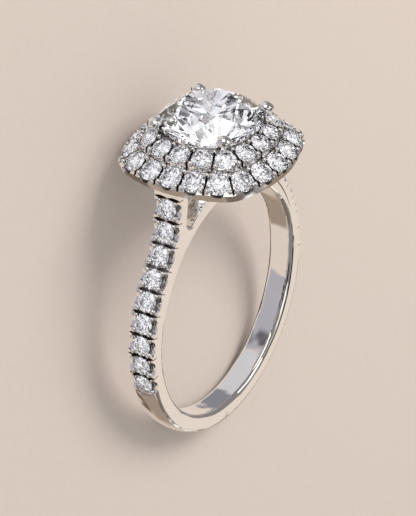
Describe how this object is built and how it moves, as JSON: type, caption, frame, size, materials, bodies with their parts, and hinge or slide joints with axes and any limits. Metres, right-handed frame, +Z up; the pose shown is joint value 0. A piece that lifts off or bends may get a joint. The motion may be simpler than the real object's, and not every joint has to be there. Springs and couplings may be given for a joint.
{
  "type": "halo ring",
  "caption": "Finger ring with a cushion-shaped halo of small stones around a round centre stone on claws, and stone-set cathedral shoulders, lying on its side.",
  "frame": {"origin": "bottom centre of the ring's box as it lies on its side", "axes": "+Z up from the surface that it lies on, +Y from the back of the band towards the head, X from shoulder to shoulder"},
  "size_m": [0.02, 0.025, 0.0112],
  "materials": {
    "white_metal": "polished white gold",
    "clear_stone": "cut and polished"
  },
  "bodies": {
    "root": {"ring_mount": "white_metal", "centre_stone": "clear_stone", "halo_outer_01": "clear_stone", "halo_outer_02": "clear_stone", "halo_outer_03": "clear_stone", "halo_outer_04": "clear_stone", "halo_outer_05": "clear_stone", "halo_outer_06": "clear_stone", "halo_outer_07": "clear_stone", "halo_outer_08": "clear_stone", "halo_outer_09": "clear_stone", "halo_outer_10": "clear_stone", "halo_outer_11": "clear_stone", "halo_outer_12": "clear_stone", "halo_outer_13": "clear_stone", "halo_outer_14": "clear_stone", "halo_outer_15": "clear_stone", "halo_outer_16": "clear_stone", "halo_outer_17": "clear_stone", "halo_outer_18": "clear_stone", "halo_outer_19": "clear_stone", "halo_outer_20": "clear_stone", "halo_inner_01": "clear_stone", "halo_inner_02": "clear_stone", "halo_inner_03": "clear_stone", "halo_inner_04": "clear_stone", "halo_inner_05": "clear_stone", "halo_inner_06": "clear_stone", "halo_inner_07": "clear_stone", "halo_inner_08": "clear_stone", "halo_inner_09": "clear_stone", "halo_inner_10": "clear_stone", "halo_inner_11": "clear_stone", "halo_inner_12": "clear_stone", "halo_inner_13": "clear_stone", "halo_inner_14": "clear_stone", "halo_inner_15": "clear_stone", "halo_inner_16": "clear_stone", "shoulder_stones_left": "clear_stone", "shoulder_stones_right": "clear_stone"}
  },
  "joints": []
}
